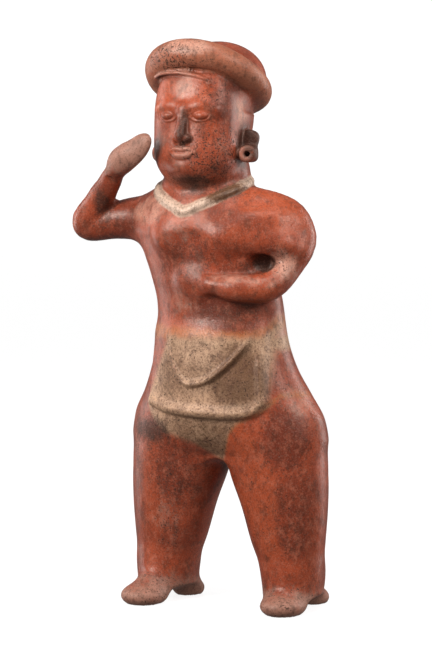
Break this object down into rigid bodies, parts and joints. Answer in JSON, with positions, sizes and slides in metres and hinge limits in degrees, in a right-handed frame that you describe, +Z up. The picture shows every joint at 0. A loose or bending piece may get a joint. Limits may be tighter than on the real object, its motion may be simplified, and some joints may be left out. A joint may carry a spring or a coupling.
{
  "type": "standing figure",
  "caption": "Hollow-fired clay standing figure with a thick headband, one hand raised beside the face and the other laid on the waist; stands on its own feet.",
  "frame": {"origin": "the middle of the bounding box in plan, on the ground plane that the soles stand on", "axes": "+Z up, -Y the way the figure faces, +X towards its own left hand"},
  "size_m": [0.2404, 0.1106, 0.5004],
  "materials": {
    "burnished_clay": "burnished red slip with a satin gloss, cream paint on loincloth and collar, dark fire clouds and black specks"
  },
  "bodies": {
    "root": {"standing_figure": "burnished_clay"}
  },
  "joints": []
}
